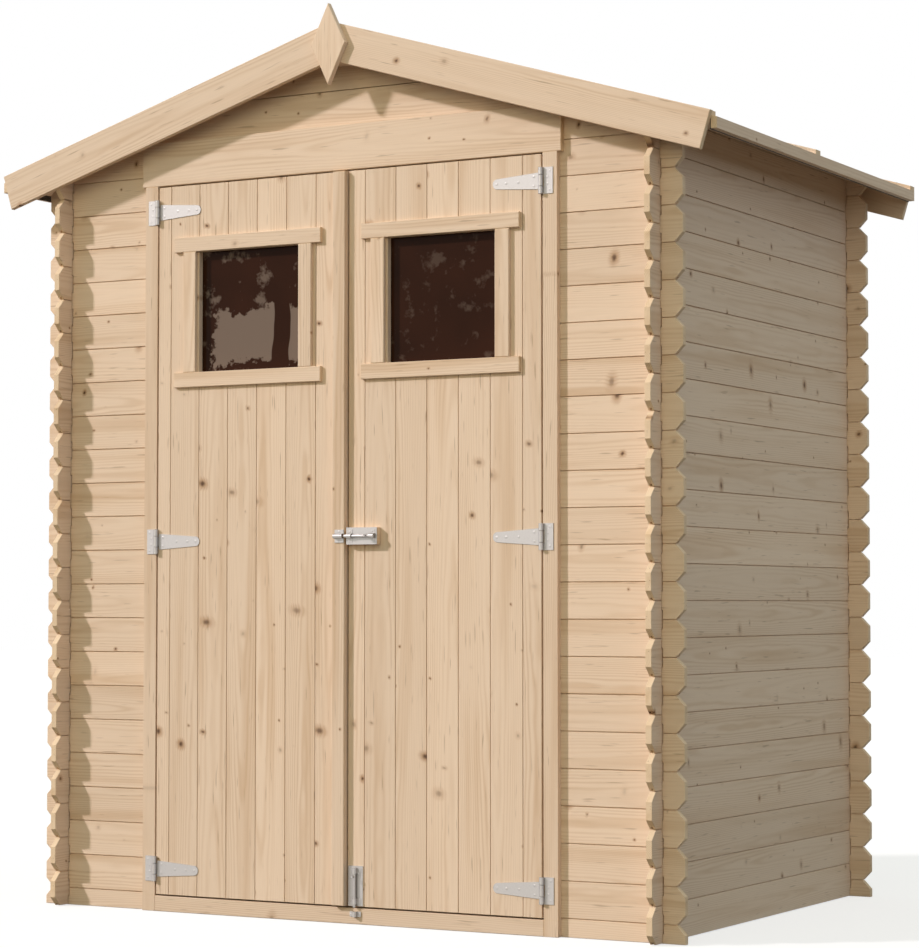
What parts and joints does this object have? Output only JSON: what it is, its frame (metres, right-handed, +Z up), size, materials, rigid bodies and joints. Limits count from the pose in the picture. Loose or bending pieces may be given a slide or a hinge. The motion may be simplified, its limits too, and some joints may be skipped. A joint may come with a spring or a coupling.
{
  "type": "garden shed",
  "caption": "Wooden garden shed of interlocking wall boards with a low gabled felt roof, glazed double doors, strap hinges and barrel bolts.",
  "frame": {"origin": "on the ground, under the middle of the roof's plan, which is the middle of the four walls", "axes": "+X right along the front, +Y from the front to the back, +Z up; the doors face -Y"},
  "size_m": [2.066, 1.382, 2.2712],
  "materials": {
    "spruce": "planed, untreated, small knots",
    "zinc_steel": "zinc plated, satin",
    "tinted_glass": "clear, dark room behind",
    "roofing_felt": "mineral felt, matt"
  },
  "bodies": {
    "shed": {"front_wall_left": "spruce", "front_wall_right": "spruce", "front_gable": "spruce", "back_wall": "spruce", "left_wall": "spruce", "right_wall": "spruce", "door_jamb_left": "spruce", "door_jamb_right": "spruce", "door_header": "spruce", "door_sill": "spruce", "floor_boards": "spruce", "floor_bearers": "spruce", "ridge_beam": "spruce", "roof_boards_left": "spruce", "roof_boards_right": "spruce", "roof_felt_left": "roofing_felt", "roof_felt_right": "roofing_felt", "eave_strips": "spruce", "roof_battens": "spruce", "front_bargeboard_left": "spruce", "front_bargeboard_right": "spruce", "rear_bargeboard_left": "spruce", "rear_bargeboard_right": "spruce", "front_finial": "spruce", "rear_finial": "spruce", "hinge_plates": "zinc_steel", "sill_keeper": "zinc_steel"},
    "left_leaf": {"left_door": "spruce", "left_door_ledges": "spruce", "cover_strip": "spruce", "left_window_trim": "spruce", "left_window_glass": "tinted_glass", "left_door_straps": "zinc_steel", "latch_keeper": "zinc_steel"},
    "right_leaf": {"right_door": "spruce", "right_door_ledges": "spruce", "right_window_trim": "spruce", "right_window_glass": "tinted_glass", "right_door_straps": "zinc_steel", "latch_packer": "spruce", "latch_case": "zinc_steel", "foot_bolt_case": "zinc_steel"},
    "latch": {"latch_rod": "zinc_steel"},
    "foot_bolt": {"foot_bolt_rod": "zinc_steel"}
  },
  "joints": [
    {"name": "left_door_swing", "type": "hinge", "parent": "shed", "child": "left_leaf", "pos_m": [-0.5585, -0.625, 0.944], "axis": [0, 0, -1], "range_deg": [0, 150]},
    {"name": "right_door_swing", "type": "hinge", "parent": "shed", "child": "right_leaf", "pos_m": [0.5585, -0.625, 0.944], "axis": [0, 0, 1], "range_deg": [0, 150]},
    {"name": "latch_slide", "type": "slide", "parent": "right_leaf", "child": "latch", "axis": [-1, 0, 0], "range_m": [0, 0.022]},
    {"name": "foot_bolt_slide", "type": "slide", "parent": "right_leaf", "child": "foot_bolt", "axis": [0, 0, -1], "range_m": [0, 0.02]}
  ]
}
